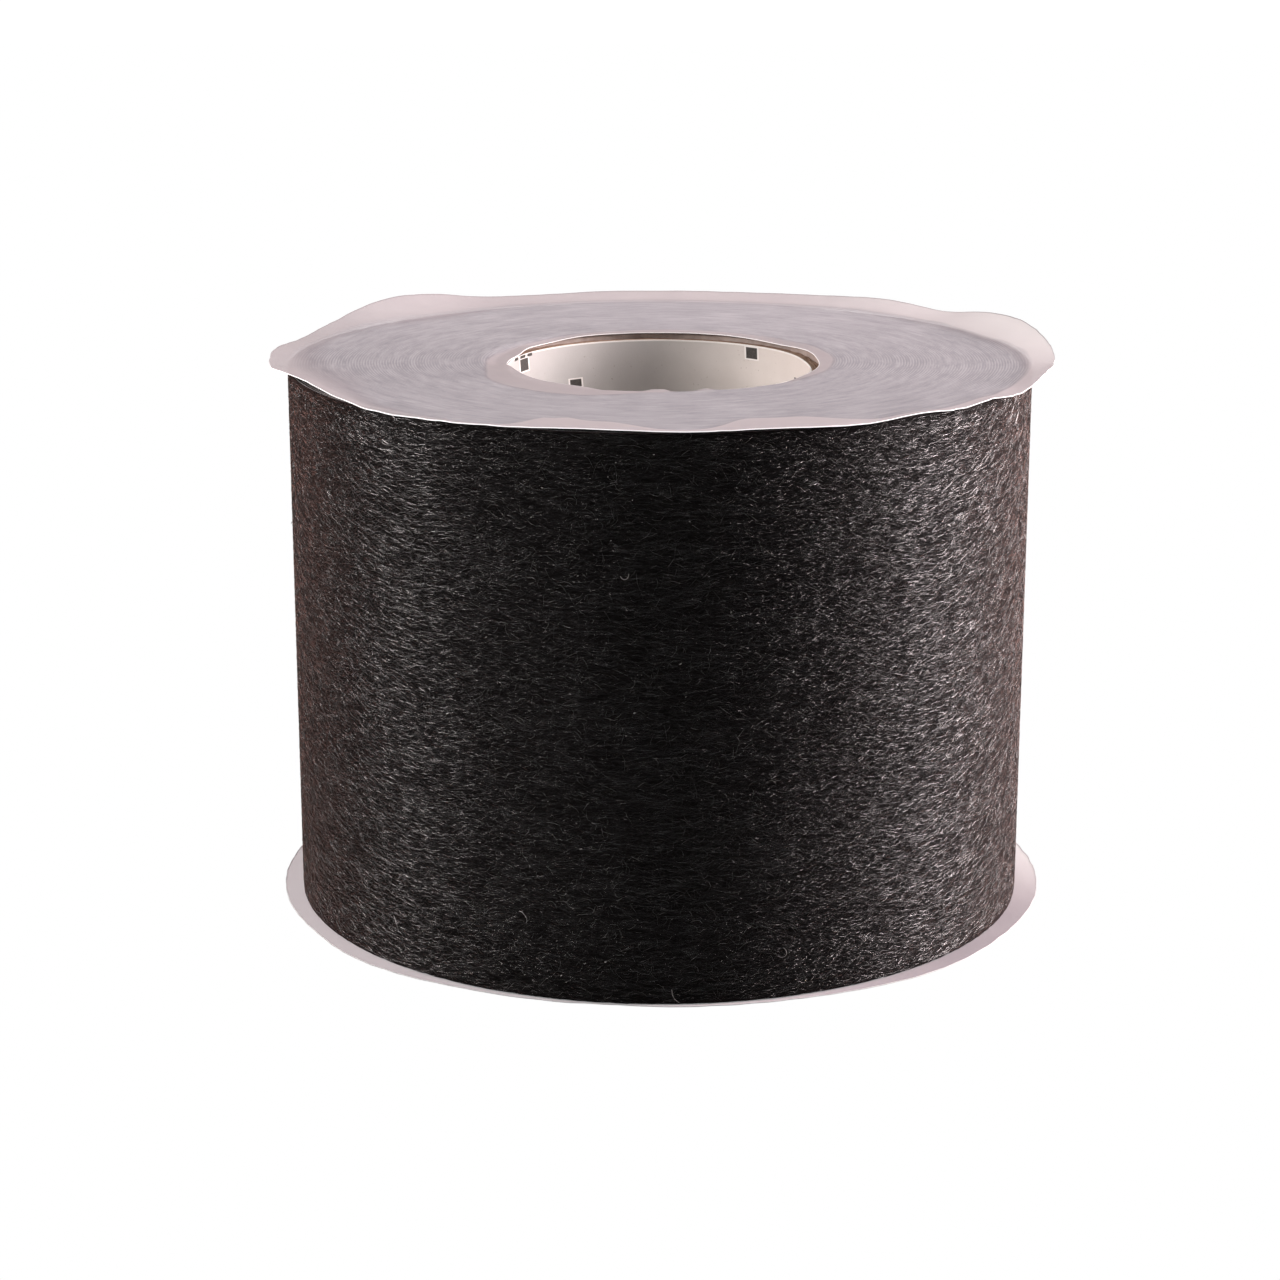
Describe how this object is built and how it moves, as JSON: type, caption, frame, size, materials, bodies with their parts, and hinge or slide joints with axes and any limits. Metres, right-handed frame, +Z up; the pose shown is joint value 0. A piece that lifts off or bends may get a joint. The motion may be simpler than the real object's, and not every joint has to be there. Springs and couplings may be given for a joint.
{
  "type": "tape roll",
  "caption": "Wide roll of black fleece-backed adhesive sealing tape on a paperboard core, with a loose translucent film disc over each face.",
  "frame": {"origin": "on the core's axis, half-way along the tape's width", "axes": "+Z up along the core's axis as the roll stands on one face, -Y to the front, +X to the right seen from the front; the tape's free end is at the back"},
  "size_m": [0.1968, 0.1979, 0.1409],
  "materials": {
    "lining_paper": "matte",
    "core_board": "matte",
    "starter_strip": "satin",
    "tape_edges": "satin",
    "fleece": "matte",
    "adhesive": "gloss",
    "release_liner": "satin",
    "side_film": "satin"
  },
  "bodies": {
    "roll": {"core_inner_liner": "lining_paper", "core_ply_1": "core_board", "core_ply_2": "core_board", "core_ply_3": "core_board", "core_ply_4": "core_board", "core_ply_5": "core_board", "core_ply_6": "core_board", "core_starter_strip": "starter_strip", "wound_tape_pack": "tape_edges", "outer_turn_release_liner": "release_liner", "outer_turn_adhesive": "adhesive", "outer_turn_fleece": "fleece"},
    "tape_end": {"tape_end_release_liner": "release_liner", "tape_end_adhesive": "adhesive", "tape_end_fleece": "fleece"},
    "top_disc": {"top_side_disc": "side_film"},
    "bottom_disc": {"bottom_side_disc": "side_film"}
  },
  "joints": [
    {"name": "tape_end_lift", "type": "hinge", "parent": "roll", "child": "tape_end", "pos_m": [0.01621, 0.09193, 0], "axis": [0, 0, -1], "range_deg": [0, 110]},
    {"name": "top_disc_lift", "type": "slide", "parent": "roll", "child": "top_disc", "axis": [0, 0, 1], "range_m": [0, 0.06]},
    {"name": "bottom_disc_lift", "type": "slide", "parent": "roll", "child": "bottom_disc", "axis": [0, 0, -1], "range_m": [0, 0.06]}
  ]
}
